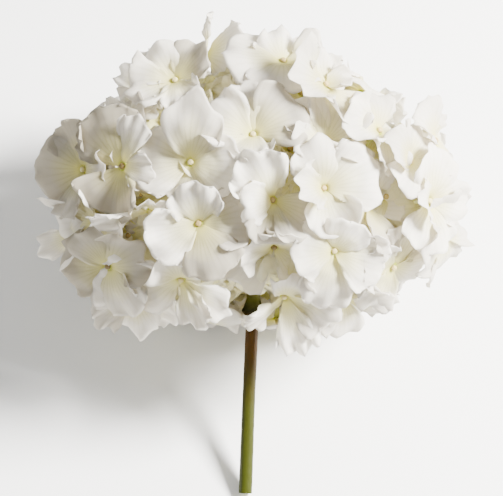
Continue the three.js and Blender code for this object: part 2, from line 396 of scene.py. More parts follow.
def petal_surface(form, rows, columns):
    """Points of the middle sheet of a petal, with how far along and how far across each one is."""
    u, s = np.meshgrid(np.linspace(0, 1, rows) ** ROW_SPACING, np.linspace(-1, 1, columns), indexing="ij")
    fan = s * form.spread * (1 - RIM_NARROWING * u**4)
    rim = 1 - form.shoulder * np.abs(s) ** 2.6 + form.point * np.exp(-((s / POINT_WIDTH) ** 2))
    for height, pace, shift in RIM_LOBES:
        rim += height * np.sin(pace * s + shift * form.seed)
    radius = PETAL_START + (form.length - PETAL_START) * u * rim
    across = radius * np.sin(fan)
    along = radius * np.cos(fan)
    margin = 1 - (1 - u**3) * (1 - np.abs(s) ** 5)  # 0 in the middle and 1 all round the edge
    height = form.roll * across**2 / (0.5 * form.length)
    height += form.twist * across * along / form.length
    height += edge_waves(form, u, s, margin)
    height += swells(across, along, form.seed)
    return bend_up(across, along, height, form), u, s, margin


def edge_waves(form, u, s, margin):
    """Waves and ripples that grow towards a petal's edge, and a rim that turns back."""
    travel = s * (0.35 + 0.65 * u)  # the waves crowd together towards the base
    waves = np.sin(2 * math.pi * form.waves * travel + form.phase)
    ripples = np.sin(2 * math.pi * form.waves * RIPPLES * travel + 1.7 * form.phase)
    turned = form.curl * margin**5 * (0.6 + 0.6 * np.sin(2.2 * s + form.phase))
    loose = np.clip(u / FIRM_SHARE, 0, 1) ** 1.5
    return loose * (form.ruffle * margin**1.5 * waves + form.frill * margin**3 * ripples - turned)


def swells(across, along, seed):
    """Broad uneven swells of a soft petal, and fainter small ones."""
    out = np.empty(across.shape)
    for index in np.ndindex(across.shape):
        place = Vector((across[index] / SWELL_WIDTH, along[index] / SWELL_WIDTH, seed))
        out[index] = SWELL_HEIGHT * noise.noise(place)
        out[index] += SMALL_SWELL_HEIGHT * noise.noise(place * SMALL_SWELLS)
    return out * np.clip(along / SWELL_START, 0, 1)


def bend_up(across, along, height, form):
    """Bends a flat petal about the line across it, from its slope at the base to that at the tip."""
    distance = np.linspace(BEND_FROM, BEND_TO, BEND_STEPS) * form.length
    slope = form.rise + form.bend * np.clip(distance / form.length, 0, BEND_TO)
    step = distance[1] - distance[0]
    run = np.cumsum(np.cos(slope)) * step
    climb = np.cumsum(np.sin(slope)) * step
    run -= np.interp(0, distance, run)
    climb -= np.interp(0, distance, climb)
    angle = np.interp(along, distance, slope)
    forward = np.interp(along, distance, run) - height * np.sin(angle)
    up = np.interp(along, distance, climb) + height * np.cos(angle)
    return np.stack([across, forward, up], axis=-1)


def thicken(surface, margin):
    """Top and bottom points of a sheet, thinner towards its rim."""
    normal = np.cross(np.gradient(surface, axis=1), np.gradient(surface, axis=0))
    normal /= np.linalg.norm(normal, axis=-1, keepdims=True) + 1e-12
    half = 0.5 * PETAL_THICKNESS * (1 - RIM_THINNING * margin**4)[..., None]
    top, bottom = surface + normal * half, surface - normal * half
    return np.concatenate([top.reshape(-1, 3), bottom.reshape(-1, 3)])


def add_petal(shell, floret, angle, form, rows, columns):
    surface, u, s, margin = petal_surface(form, rows, columns)
    placed = keep_off_table(place_on(floret, angle, thicken(surface, margin)))
    # The petal's painted shade goes to its material in the same mark as the buds' ripeness.
    shell.add(
        placed,
        grid_faces(rows, columns),
        0,
        along=np.tile(u.ravel(), 2),
        fan=np.tile(s.ravel(), 2),
        depth=floret.depth,
        tone=form.painted_shade,
    )


def keep_off_table(points):
    """Petals that would pass under the table top lie flat on it instead."""
    low = points[:, 2] < TABLE_GAP
    points[low, 2] = TABLE_GAP * np.exp((points[low, 2] - TABLE_GAP) / TABLE_PRESS)
    return points


# ---- florets


def level_towards(floret, others, ranks, direction):
    """1 where the petals lie over the neighbour in a direction, and -1 where they tuck under it."""
    total = 0.0
    weight = 0.0
    for other in others:
        if other is floret:
            continue
        way = other.centre - floret.centre
        distance = np.linalg.norm(way)
        if distance > NEIGHBOUR_REACH * floret.petal:
            continue
        outward = unit(floret.facing + other.facing)
        flat = unit(way - outward * (way @ outward))
        aligned = max(0.0, flat @ direction) ** 3 / distance
        above = -(way @ outward) + ranks[floret.name] - ranks[other.name]
        total += aligned * np.clip(above / FULL_STEP, -1, 1)
        weight += aligned
    return total / weight if weight else FREE_LEVEL


def petal_form(floret, level, habit, rng):
    """A petal's shape, which depends on whether it lies over its neighbours or tucks under them."""
    return PetalForm(
        length=floret.petal * rng.uniform(0.96, 1.18),
        spread=rng.uniform(0.88, 1.1),
        shoulder=rng.uniform(0.14, 0.28),
        point=rng.uniform(0.0, 0.1),
        rise=0.22 + 0.3 * level + habit + rng.uniform(-0.15, 0.15),
        bend=-0.4 - 0.8 * habit + rng.uniform(-0.5, 0.45),
        roll=rng.choice([rng.uniform(-0.15, 0.25), rng.uniform(0.3, 0.6)], p=[0.7, 0.3]),
        twist=rng.uniform(0.06, 0.3),
        ruffle=rng.uniform(0.8, 2.6) * MM,
        waves=rng.uniform(0.9, 2.1),
        frill=rng.uniform(0.2, 1.0) * MM,
        phase=rng.uniform(0, 2 * math.pi),
        curl=rng.uniform(-1.0, 2.6) * MM,
        # A little painted shade at random on every petal.
        painted_shade=rng.uniform(0, 0.35),
        seed=rng.uniform(0, 50),
    )


# How ripe the buds that show most clearly are: 0 is cream, 0.5 is tan and 1 is brown.
RIPE_BUDS = {
    "floret_01": 0.5,
    "floret_02": 0.6,
    "floret_03": 0.5,
    "floret_04": 0.3,
    "floret_05": 0.95,
    "floret_08": 1.0,
    "floret_29": 1.0,
}

# Petals of the most prominent florets: the direction in which each one points in the
# picture, in degrees anticlockwise from the right, its length, and what sets its shape apart.
# The greyer of these petals carry painted shade, set to match petals that lie in shade or turn away from the
# light.
PORTRAITS = {
    "floret_01": [
        (97, 20, dict(spread=1.15, rise=0.6, bend=-0.6, ruffle=2.8 * MM, waves=1.9, frill=1 * MM, painted_shade=0.1)),
        (8, 24, dict(spread=0.95, rise=0.2, bend=-0.5, ruffle=2 * MM, painted_shade=0.6)),
        (205, 25, dict(spread=0.85, rise=0.35, bend=-0.3, ruffle=2.6 * MM, frill=0.8 * MM, painted_shade=0.0)),
        (293, 27, dict(spread=0.8, rise=0.5, bend=-0.6, roll=-0.15, ruffle=0.6 * MM, curl=0, painted_shade=0.9)),
    ],
    "floret_02": [
        (122, 26, dict(spread=0.9, rise=0.75, bend=-0.6, ruffle=2.2 * MM, painted_shade=0.0)),
        (192, 19, dict(spread=0.85, rise=1.0, bend=-0.6, curl=2.4 * MM, painted_shade=0.0)),
        (262, 21, dict(spread=0.8, rise=0.5, bend=-0.9, painted_shade=0.7)),
        (325, 23, dict(spread=0.9, rise=0.5, bend=-0.9, painted_shade=0.7)),
    ],
    "floret_03": [
        (20, 28, dict(spread=0.95, rise=0.65, bend=-0.9, roll=0.2, curl=2.5 * MM)),
        (100, 24, dict(spread=1.1, rise=0.8, bend=-0.9)),
        (190, 22, dict(spread=0.8, rise=0.85, bend=-0.2)),
        (280, 22, dict(spread=1.0, rise=0.25, bend=-0.5)),
    ],
    "floret_04": [
        (65, 20, dict(spread=1.0, rise=0.8, bend=-0.4)),
        (340, 25, dict(spread=0.85, rise=0.4, bend=-0.6, roll=0.2)),
        (262, 28, dict(spread=0.75, rise=0.1, bend=-0.4, ruffle=1.6 * MM)),
        (172, 21, dict(spread=1.1, rise=0.5, bend=-0.5)),
    ],
    "floret_05": [
        (218, 27, dict(spread=0.85, point=0.2, rise=0.1, bend=-0.3)),
        (322, 24, dict(spread=0.95, rise=0.1, bend=-0.5)),
        (60, 20, dict(rise=0.7, bend=-0.2)),
        (140, 20, dict(rise=0.7, bend=-0.2)),
    ],
    "floret_06": [
        (80, 31, dict(shoulder=0.42, point=0.2, rise=0.8, bend=-0.8, ruffle=1.8 * MM)),
        (350, 26, dict(rise=0.5, bend=-0.6)),
        (180, 25, dict(rise=0.3, bend=-0.5)),
        (270, 20, dict(rise=0.0, bend=-0.3)),
    ],
    "floret_07": [
        (155, 26, dict(spread=1.0, rise=0.5, bend=-0.8, curl=2 * MM)),
        (30, 27, dict(spread=1.0, rise=0.4, bend=-0.7, painted_shade=0.7)),
        (265, 18, dict(spread=1.1, rise=0.6, bend=-0.2, ruffle=2.4 * MM)),
        (95, 25, dict(spread=0.9, rise=0.3, bend=-0.3)),
    ],
    "floret_08": [
        (126, 30, dict(spread=0.95, rise=0.35, bend=-0.6, roll=-0.15, ruffle=0.7 * MM, curl=0, painted_shade=1.0)),
        (62, 24, dict(spread=0.5, rise=0.3, bend=-0.3, ruffle=0.8 * MM, frill=0.2 * MM, painted_shade=0.3)),
        (250, 25, dict(spread=1.1, rise=0.1, bend=-0.6, ruffle=1.4 * MM, painted_shade=1.0)),
        (345, 16, dict(spread=0.8, rise=0.3, bend=-0.9)),
    ],
    "floret_09": [
        (178, 25, dict(spread=1.2, rise=0.7, bend=-0.25, painted_shade=0.8)),
        (100, 23, dict(spread=0.9, rise=0.35, bend=-0.2, ruffle=1.8 * MM, painted_shade=0.9)),
        (235, 25, dict(spread=0.9, rise=0.5, bend=-0.2, ruffle=2.2 * MM, painted_shade=0.7)),
        (0, 20, dict(rise=0.3, bend=-0.3)),
    ],
    "floret_10": [
        (50, 21, dict(rise=0.5, bend=-0.4, painted_shade=0.8)),
        (130, 20, dict(spread=1.1, rise=0.4, bend=-0.5, ruffle=2.4 * MM, frill=0.8 * MM)),
        (195, 22, dict(spread=0.9, rise=0.3, bend=-0.3, ruffle=2 * MM)),
        (290, 18, dict(rise=0.6, bend=-0.5)),
    ],
    "floret_13": [
        (102, 20, dict(spread=0.36, rise=0.25, bend=0.1, twist=0.3, ruffle=1.6 * MM)),
        (160, 14, dict(spread=0.6, rise=0.5, bend=0.0)),
        (270, 25, dict(spread=1.0, rise=0.3, bend=-0.3)),
        (345, 24, dict(spread=1.1, rise=-0.2, bend=-0.3)),
    ],
    "floret_14": [
        (88, 19, dict(spread=1.2, rise=0.3, bend=-0.1, ruffle=2.4 * MM, frill=1 * MM)),
        (186, 28, dict(spread=1.1, rise=0.3, bend=-0.3, ruffle=2.2 * MM)),
        (352, 21, dict(spread=1.0, rise=0.4, bend=-0.4)),
        (264, 26, dict(spread=1.15, rise=0.5, bend=-0.6)),
    ],
    "floret_15": [
        (15, 13, dict(rise=1.0, bend=-0.3, ruffle=1.6 * MM)),
        (100, 17, dict(rise=0.4, bend=-0.4, frill=0.9 * MM)),
        (205, 26, dict(spread=1.0, rise=0.4, bend=-0.4, ruffle=1.6 * MM)),
        (278, 28, dict(spread=0.85, rise=0.3, bend=-0.4, ruffle=1.6 * MM)),
    ],
    "floret_16": [
        (65, 23, dict(spread=1.0, rise=0.45, bend=-0.6, frill=0.9 * MM)),
        (125, 24, dict(spread=0.9, rise=0.5, bend=-0.5, ruffle=2.4 * MM)),
        (215, 20, dict(spread=0.9, rise=0.6, bend=-0.5)),
        (345, 21, dict(spread=0.9, rise=0.5, bend=-0.7, ruffle=2 * MM)),
    ],
    "floret_19": [
        (84, 17, dict(spread=0.8, point=0.25, rise=0.2, bend=0.1, ruffle=2.2 * MM)),
        (10, 16, dict(rise=0.4)),
        (270, 22, dict(rise=0.3)),
        (170, 20, dict(rise=0.5)),
    ],
    "floret_20": [
        (92, 25, dict(spread=1.05, rise=0.4, bend=-0.5, ruffle=1.6 * MM, painted_shade=0.0)),
        (0, 22, dict(spread=0.9, rise=0.4, bend=-0.4, painted_shade=0.0)),
        (262, 24, dict(spread=1.0, rise=0.4, bend=-0.6, ruffle=1.8 * MM, painted_shade=0.0)),
        (178, 17, dict(spread=0.9, rise=0.9, bend=-0.6, painted_shade=0.1)),
    ],
    "floret_23": [
        (278, 26, dict(spread=0.6, rise=0.7, bend=-0.5, roll=0.4, painted_shade=0.6)),
        (100, 22, dict(spread=0.6, rise=0.7, bend=-0.4, roll=0.4)),
        (200, 18, dict(rise=0.4)),
        (20, 18, dict(rise=0.4)),
    ],
    "floret_25": [
        (272, 20, dict(spread=0.9, rise=0.4, bend=0.0, ruffle=2.2 * MM)),
        (0, 22, dict(spread=0.9, rise=0.4, bend=-0.2, ruffle=2 * MM)),
        (190, 20, dict(rise=0.3)),
        (95, 18, dict(rise=0.6)),
    ],
    "floret_26": [
        (284, 31, dict(spread=0.5, rise=0.75, bend=-0.1, ruffle=2.4 * MM, twist=0.3)),
        (215, 23, dict(spread=0.42, rise=0.6, bend=-0.1, ruffle=2.4 * MM)),
        (335, 26, dict(spread=0.8, rise=0.4, bend=0.0, ruffle=2 * MM)),
        (80, 20, dict(rise=0.6)),
    ],
    "floret_27": [
        (290, 24, dict(spread=0.6, rise=0.5, bend=0.0, ruffle=2.2 * MM)),
        (330, 26, dict(spread=0.45, rise=0.5, bend=-0.1, twist=0.6)),
        (200, 24, dict(rise=0.2)),
        (90, 20, dict(rise=0.6)),
    ],
    "floret_28": [
        (270, 20, dict(spread=1.1, rise=0.4, bend=0.0, ruffle=2.2 * MM)),
        (225, 22, dict(spread=0.5, rise=0.4, bend=0.1, ruffle=2.2 * MM)),
        (330, 24, dict(spread=0.7, rise=0.1, bend=0.0)),
        (100, 20, dict(rise=0.5)),
    ],
    "floret_29": [
        (192, 28, dict(spread=0.95, rise=0.1, bend=-0.5, roll=-0.1, painted_shade=1.0)),
        (120, 22, dict(spread=0.85, rise=0.5, bend=-0.4, painted_shade=0.9)),
        (32, 25, dict(spread=1.0, rise=0.4, bend=-0.3, painted_shade=0.9)),
        (285, 26, dict(spread=0.95, rise=0.2, bend=-0.4, ruffle=1.8 * MM, painted_shade=0.4)),
    ],
    "floret_30": [
        (160, 29, dict(spread=0.5, rise=0.7, bend=-0.2, roll=0.6, twist=0.3, painted_shade=0.0)),
        (228, 20, dict(spread=0.9, rise=0.25, bend=-0.3, painted_shade=0.3)),
        (320, 20, dict(spread=0.8, rise=0.3, bend=-0.4, painted_shade=0.8)),
        (60, 18, dict(spread=0.8, rise=0.5, bend=-0.4)),
    ],
    "floret_31": [
        (112, 22, dict(spread=0.9, rise=0.2, bend=-0.3)),
        (192, 26, dict(spread=1.0, rise=0.2, bend=-0.3, ruffle=1.8 * MM, painted_shade=0.2)),
        (262, 18, dict(spread=0.9, rise=0.0, bend=-0.3, painted_shade=0.5)),
        (340, 22, dict(spread=0.9, rise=0.2, bend=-0.4)),
    ],
    "floret_32": [
        (198, 20, dict(spread=0.6, rise=0.9, bend=0.0, ruffle=2.2 * MM)),
        (130, 20, dict(rise=0.1, bend=0.0)),
        (250, 20, dict(rise=0.1, bend=0.0)),
        (20, 18, dict(rise=0.3)),
    ],
}


def round_axis(floret, radius, angles, height):
    """Points given round a floret's axis, moved to where the floret stands."""
    local = np.stack([radius * np.cos(angles), radius * np.sin(angles), height], axis=-1)
    return floret.centre + local.reshape(-1, 3) @ floret.basis().T


def add_bud(shell, floret, ripe):
    """A small closed bud with four scales."""
    polar = np.linspace(BUD_TIP, math.pi - BUD_SEAT, BUD_RINGS)[::-1]
    down, around = np.meshgrid(polar, ring_angles(BUD_SIDES), indexing="ij")
    groove = 1 - BUD_GROOVE * np.abs(np.cos(PETALS / 2 * around + BUD_TURN)) ** 6 * np.sin(down) ** 0.5
    dimple = BUD_DIMPLE * np.exp(-((down / BUD_DIMPLE_WIDTH) ** 2))
    height = BUD_RADIUS * (BUD_HEIGHT * np.cos(down) + BUD_LIFT - dimple)
    points = round_axis(floret, BUD_RADIUS * np.sin(down) * groove, around, height)
    shell.add(points, tube_faces(BUD_RINGS, BUD_SIDES), 1, along=0.5, depth=floret.depth, tone=ripe)


def add_collar(shell, floret):
    """The low lobed collar under a bud, where the four petals meet."""
    share, around = np.meshgrid(COLLAR_SHARES, ring_angles(BUD_SIDES), indexing="ij")
    lobes = 1 - COLLAR_LOBES + COLLAR_LOBES * np.abs(np.cos(PETALS / 2 * around))
    height = np.repeat(COLLAR_HEIGHTS[:, None], BUD_SIDES, axis=1)
    points = round_axis(floret, COLLAR_RADIUS * share * lobes, around, height)
    faces = tube_faces(len(COLLAR_SHARES), BUD_SIDES)
    # The collar is greyed halfway with the petals' painted shade.
    shell.add(points, faces, 0, along=0.0, depth=floret.depth, tone=0.5)


def add_pedicel(shell, floret):
    """The thin stalk from a ray's hub to the collar, which bends to the floret's facing."""
    length = np.linalg.norm(floret.centre - floret.foot)
    top = floret.centre - floret.facing * PEDICEL_SEAT
    handle = top - floret.facing * 0.3 * length
    start = floret.foot + (top - floret.foot) * 0.35
    path = bezier([floret.foot, start, handle, top], PEDICEL_RINGS)
    share = np.linspace(0, 1, PEDICEL_RINGS)
    radii = PEDICEL_FOOT_RADIUS + (PEDICEL_TOP_RADIUS - PEDICEL_FOOT_RADIUS) * share
    radii += PEDICEL_FLARE * share**8
    shell.add(
        tube_points(path, radii, PEDICEL_SIDES),
        tube_faces(PEDICEL_RINGS, PEDICEL_SIDES),
        2,
        along=np.repeat(share, PEDICEL_SIDES),
        depth=floret.depth,
        tone=0.5,
    )


class Outline:
    """The hull of the outer florets' centres, which petals may pass by only so far."""

    def __init__(self, florets):
        faces = hull_triangles([floret.centre for floret in florets])
        self.normals = np.array([normal for _, normal, _ in faces])
        self.offsets = np.array([centre @ normal for centre, normal, _ in faces])
        self.middle = np.mean([floret.centre for floret in florets], axis=0)

    def meet(self, direction):
        """Where a line from the middle of the head leaves the hull, and the direction out there."""
        climb = self.normals @ direction
        room = self.offsets - self.normals @ self.middle
        travel = np.where(climb > 0, room / np.maximum(climb, 1e-9), np.inf)
        point = self.middle + direction * travel.min()
        nearness = np.exp(-(travel - travel.min()) / HULL_BLEND)
        return point, unit(nearness @ self.normals)

    def beyond(self, points):
        """How far each point stands out of the hull."""
        return (points @ self.normals.T - self.offsets).max(axis=1)


def allowed_past(floret, picture):
    """How far a floret's petals may stand out of the hull of the outer florets' centres."""
    if floret.depth > 0:
        return PAST_INNER
    if floret.name in PORTRAITS:
        return PAST_PORTRAIT
    towards = floret.facing @ picture.back
    if towards > SIDEWAYS:
        return PAST_FACE
    return PAST_RIM if towards > -SIDEWAYS else PAST_BACK


def fit_petal(floret, angle, form, outline, allowance):
    """Bends a petal inwards, and then shortens it, until it keeps within the head's outline."""
    for _ in range(FIT_TRIES):
        points = place_on(floret, angle, petal_surface(form, FIT_ROWS, FIT_COLUMNS)[0].reshape(-1, 3))
        excess = outline.beyond(points).max() - allowance
        if excess <= 0:
            break
        form = replace(form, bend=form.bend - 0.2, rise=form.rise - 0.08, length=form.length * 0.98)
    return form


def place_on(floret, angle, points):
    """A petal's own y runs along it, so it is turned to lie along its direction on the floret."""
    turn = angle - math.pi / 2
    flat = points.copy()
    flat[:, 0] = points[:, 0] * math.cos(turn) - points[:, 1] * math.sin(turn)
    flat[:, 1] = points[:, 0] * math.sin(turn) + points[:, 1] * math.cos(turn)
    return floret.centre + flat @ floret.basis().T


def picture_angle(floret, picture, degrees):
    """The turn about a floret's facing that points a petal along a direction in the picture."""
    way = picture.right * math.cos(math.radians(degrees)) + picture.up * math.sin(math.radians(degrees))
    local = floret.basis().T @ way
    return math.atan2(local[1], local[0])


@dataclass
class Setting:
    """What every floret is fitted to, and the materials of its petals, bud and stalk."""

    outline: Outline
    picture: Picture
    ranks: dict  # how far each floret is lifted or sunk among its neighbours
    materials: list


def build_floret(floret, others, setting, rows, columns):
    rng = np.random.default_rng(floret.seed)
    shell = Shell()
    basis = floret.basis()
    habit = rng.choice(HABITS)
    hand = 1 if rng.uniform() < 0.5 else -1
    portrait = PORTRAITS.get(floret.name)
    allowance = allowed_past(floret, setting.picture)
    for number in range(PETALS):
        angle = number * 2 * math.pi / PETALS + rng.uniform(-ANGLE_RANGE, ANGLE_RANGE)
        if portrait:
            degrees, length, special = portrait[number]
            angle = picture_angle(floret, setting.picture, degrees)
        direction = basis @ np.array([math.cos(angle), math.sin(angle), 0.0])
        level = level_towards(floret, others, setting.ranks, direction)
        form = petal_form(floret, level, habit, rng)
        form.twist *= hand
        if portrait:
            form = replace(form, length=length * MM, **special)
        form = fit_petal(floret, angle, form, setting.outline, allowance)
        add_petal(shell, floret, angle, form, rows, columns)
    add_bud(shell, floret, RIPE_BUDS.get(floret.name, rng.uniform(0, RIPEST_BY_CHANCE)))
    add_collar(shell, floret)
    add_pedicel(shell, floret)
    return shell.build("real_" + floret.name, setting.materials)


def hull_triangles(points):
    """Triangles of the convex hull of some points, as their centres and outward normals."""
    mesh = bmesh.new()
    for point in points:
        mesh.verts.new(point)
    bmesh.ops.convex_hull(mesh, input=mesh.verts[:], use_existing_faces=False)
    middle = np.mean(points, axis=0)
    found = []
    for face in mesh.faces:
        centre = np.array(face.calc_center_median())
        normal = np.array(face.normal)
        found.append((centre, normal * np.sign(normal @ (centre - middle)), face.calc_area()))
    mesh.free()
    found.sort(key=lambda entry: -entry[2])
    return found


def even_directions(count):
    """Directions spread evenly over a sphere."""
    index = np.arange(count) + 0.5
    height = 1 - 2 * index / count
    turn = math.pi * (3 - math.sqrt(5)) * index
    ring = np.sqrt(1 - height**2)
    return np.column_stack([ring * np.cos(turn), ring * np.sin(turn), height])


@dataclass
class Filling:
    """One layer of smaller florets behind the outer ones."""

    label: str
    count: int  # spread over the whole sphere, before those that have no room are left out
    depth: float  # how far below the hull they stand
    # Deeper florets get more painted light, the yellow of light bounced among the petals deep in the head.
    shade: float  # how deep they look, from 0 to 1


FILLINGS = [Filling("inner", 150, 11 * MM, 0.35), Filling("deep", 64, 25 * MM, 0.9)]


def has_room(place, stem):
    """Whether a place is clear of the table and of the stem and its crown."""
    beside = place - stem[-1]
    line = unit(stem[-1] - stem[0])
    along = beside @ line
    aside = np.linalg.norm(beside - along * line)
    return place[2] >= FLOOR_ROOM and not (along < CROWN_ROOM and aside < STEM_ROOM)


def filling_florets(filling, outline, feet, stem):
    """The florets of one layer. Each springs from the foot of the nearest outer floret's pedicel."""
    rng = np.random.default_rng(filling.count)
    florets = []
    for direction in even_directions(filling.count):
        on_hull, normal = outline.meet(direction)
        place = on_hull - normal * (filling.depth + rng.uniform(-1, 1) * INNER_SHIFT)
        if not has_room(place, stem):
            continue
        facing = unit(normal + rng.normal(0, INNER_LEAN, 3))
        first = unit(np.cross(facing, rng.normal(0, 1, 3)))
        foot = feet[np.argmin(np.linalg.norm(feet - place, axis=1))]
        size = INNER_PETAL * rng.uniform(0.9, 1.12)
        name = f"{filling.label}_{len(florets) + 1:02d}"
        seed = 500 + 7 * len(florets) + filling.count
        florets.append(Floret(name, place, facing, first, size, foot, filling.shade, seed))
    return florets


# ---- materials

BLACK, MIDDLE, FULL = (0, 0, 0), (0.5, 0.5, 0.5), (1, 1, 1)

PETAL_WHITE = (0.94, 0.91, 0.85, 1)
# Painted shade: the warm grey that petals in shade are mixed towards.
PETAL_PAINTED_SHADE = (0.50, 0.455, 0.36, 1)
PETAL_CREAM = (0.84, 0.80, 0.24, 1)
PETAL_GREEN = (0.62, 0.68, 0.10, 1)
# Painted light: the yellow of light bounced among and passed through the petals deep in the head, mixed in
# by how deep a floret stands.
PAINTED_DEEP_LIGHT = (0.93, 0.90, 0.42, 1)
PAINTED_DEEP_LIGHT_SHARE = 0.85
VEIN_TINT = (0.85, 0.85, 0.78, 1)
VEIN_SHADE = 0.85
VEIN_PACE = 38.0  # radians of the pattern for half the fan
VEIN_SHARPNESS = 5.0
PETAL_GLOW = 0.5  # share of the light that passes through

BUD_STOPS = [(0.0, (0.72, 0.66, 0.36)), (0.5, (0.46, 0.33, 0.14)), (1.0, (0.16, 0.11, 0.03))]
BUD_SPECK = (0.80, 0.78, 0.50, 1)
STALK_DARK = (0.60, 0.66, 0.24, 1)
STALK_LIGHT = (0.80, 0.82, 0.45, 1)

# The stem's colour from the cut end to the crown. The stops towards the crown are olive, made lighter with
# painted light where the petals shade it.
STEM_STOPS_AND_CROWN_LIGHT = [
    (0.0, (0.026, 0.033, 0.0005)),
    (0.38, (0.023, 0.027, 0.0005)),
    (0.55, (0.030, 0.022, 0.0009)),
    (0.68, (0.052, 0.022, 0.0018)),
    (0.82, (0.044, 0.018, 0.0018)),
    (0.87, (0.010, 0.010, 0.0007)),
    (0.92, (0.07, 0.066, 0.008)),
    (1.0, (0.14, 0.14, 0.03)),
]
STEM_FLECK = (0.10, 0.09, 0.02, 1)
FLECK_SHARE = 0.1
STEM_DRIFT = 0.16  # how far clouds shift the colours along the stem
STRIPE_PACE = 31.0

# From the middle of the cut face to its rim
PITH_STOPS = [(0.0, (0.62, 0.62, 0.40)), (0.7, (0.50, 0.52, 0.24)), (0.9, (0.10, 0.13, 0.01))]
PITH_SPOTS = (0.6, 0.62, 0.4, 1)


class Look:
    """A node material, with short ways to add nodes and join them."""

    def __init__(self, name):
        self.material = bpy.data.materials.new(name)
        self.material.use_nodes = True
        self.nodes = self.material.node_tree.nodes
        self.links = self.material.node_tree.links
        self.nodes.clear()

    def feed(self, socket, value):
        """Joins an input to another node's output, or sets it to a value."""
        if isinstance(value, bpy.types.NodeSocket):
            self.links.new(value, socket)
        else:
            socket.default_value = value

    def node(self, kind, **inputs):
        """A new node. The inputs' names have _ in place of their spaces."""
        node = self.nodes.new("ShaderNode" + kind)
        for name, value in inputs.items():
            self.feed(node.inputs[name.replace("_", " ")], value)
        return node

    def mark(self, name):
        """A number that the mesh keeps for each vertex."""
        node = self.node("Attribute")
        node.attribute_name = name
        return node.outputs["Fac"]

    def noise(self, scale, detail, **place):
        return self.node("TexNoise", Scale=scale, Detail=detail, **place).outputs["Fac"]

    def mix(self, factor, first, second, blend="MIX"):
        node = self.node("Mix")
        node.data_type = "RGBA"
        node.blend_type = blend
        for number, value in ((0, factor), (6, first), (7, second)):
            self.feed(node.inputs[number], value)
        return node.outputs[2]

    def maths(self, operation, *values):
        node = self.node("Math")
        node.operation = operation
        for socket, value in zip(node.inputs, values):
            self.feed(socket, value)
        return node.outputs[0]

    def ramp(self, factor, stops):
        node = self.node("ValToRGB", Fac=factor)
        elements = node.color_ramp.elements
        while len(elements) < len(stops):
            elements.new(0.5)
        for element, (place, colour) in zip(elements, stops):
            element.position = place
            element.color = (*colour, 1)
        return node.outputs[0]

    def surface(self, body, relief, strength, depth, **inputs):
        """The main shader, with a colour and a fine relief of some strength and depth."""
        bump = self.node("Bump", Height=relief, Strength=strength, Distance=depth)
        return self.node("BsdfPrincipled", Base_Color=body, Normal=bump.outputs[0], **inputs)

    def finish(self, shader):
        self.node("OutputMaterial", Surface=shader.outputs[0])
        return self.material


def petal_veins(look, along):
    """Fine lines that run out along the fan with a slow wobble, and fade at both ends."""
    bent = look.maths("MULTIPLY_ADD", look.noise(160.0, 2.0), 0.12, look.mark("fan"))
    stripes = look.maths("SINE", look.maths("MULTIPLY", bent, VEIN_PACE))
    lines = look.maths("POWER", look.maths("MULTIPLY_ADD", stripes, 0.5, 0.5), VEIN_SHARPNESS)
    fade = look.ramp(along, [(0.05, (0.2, 0.2, 0.2)), (0.35, FULL), (0.97, (0.15, 0.15, 0.15))])
    return look.maths("MULTIPLY", lines, fade)


def petal_material():
    """White petals, creamier towards their bases, greyed petal by petal with painted shade, and tinted
    yellow deep in the head with painted light bounced among the petals, with fine fanned veins.
    """
    look = Look("petal")
    along = look.mark("along")
    # Painted shade: each petal is greyed by its own amount, the same all over it.
    body = look.mix(look.mark("tone"), PETAL_WHITE, PETAL_PAINTED_SHADE)
    body = look.mix(look.ramp(along, [(0.0, FULL), (0.22, MIDDLE), (0.7, BLACK)]), body, PETAL_CREAM)
    body = look.mix(look.ramp(along, [(0.0, FULL), (0.09, BLACK)]), body, PETAL_GREEN)
    # Painted light: deeper florets are tinted yellow like light bounced among the petals deep in the head.
    body = look.mix(look.maths("MULTIPLY", look.mark("depth"), PAINTED_DEEP_LIGHT_SHARE), body, PAINTED_DEEP_LIGHT)
    veins = petal_veins(look, along)
    body = look.mix(look.maths("MULTIPLY", veins, VEIN_SHADE), body, VEIN_TINT, "MULTIPLY")
    relief = look.maths("MULTIPLY_ADD", look.noise(2600.0, 3.0), 0.25, veins)
    shine = {"Roughness": 0.55, "Specular_IOR_Level": 0.25, "Sheen_Weight": 0.15}
    skin = look.surface(body, relief, 0.35, 0.2 * MM, **shine)
    glow = look.node("BsdfTranslucent", Color=body)
    blend = look.node("MixShader", Fac=PETAL_GLOW)
    look.feed(blend.inputs[1], skin.outputs[0])
    look.feed(blend.inputs[2], glow.outputs[0])
    return look.finish(blend)


def bud_material():
    """Buds that go from cream to brown as they ripen, with fine specks."""
    look = Look("bud")
    speck = look.noise(1800.0, 2.0)
    body = look.mix(speck, look.ramp(look.mark("tone"), BUD_STOPS), BUD_SPECK, "MULTIPLY")
    return look.finish(look.surface(body, speck, 0.3, 0.2 * MM, Roughness=0.5))


def stalk_material():
    """Pale green rays and pedicels, with faint streaks."""
    look = Look("stalk")
    streak = look.noise(300.0, 3.0, Vector=look.node("TexCoord").outputs["Object"])
    body = look.mix(streak, STALK_DARK, STALK_LIGHT)
    inside = {"Subsurface_Weight": 0.2, "Subsurface_Radius": (1 * MM, 1 * MM, 0.5 * MM)}
    return look.finish(look.surface(body, streak, 0.2, 0.2 * MM, Roughness=0.5, **inside))


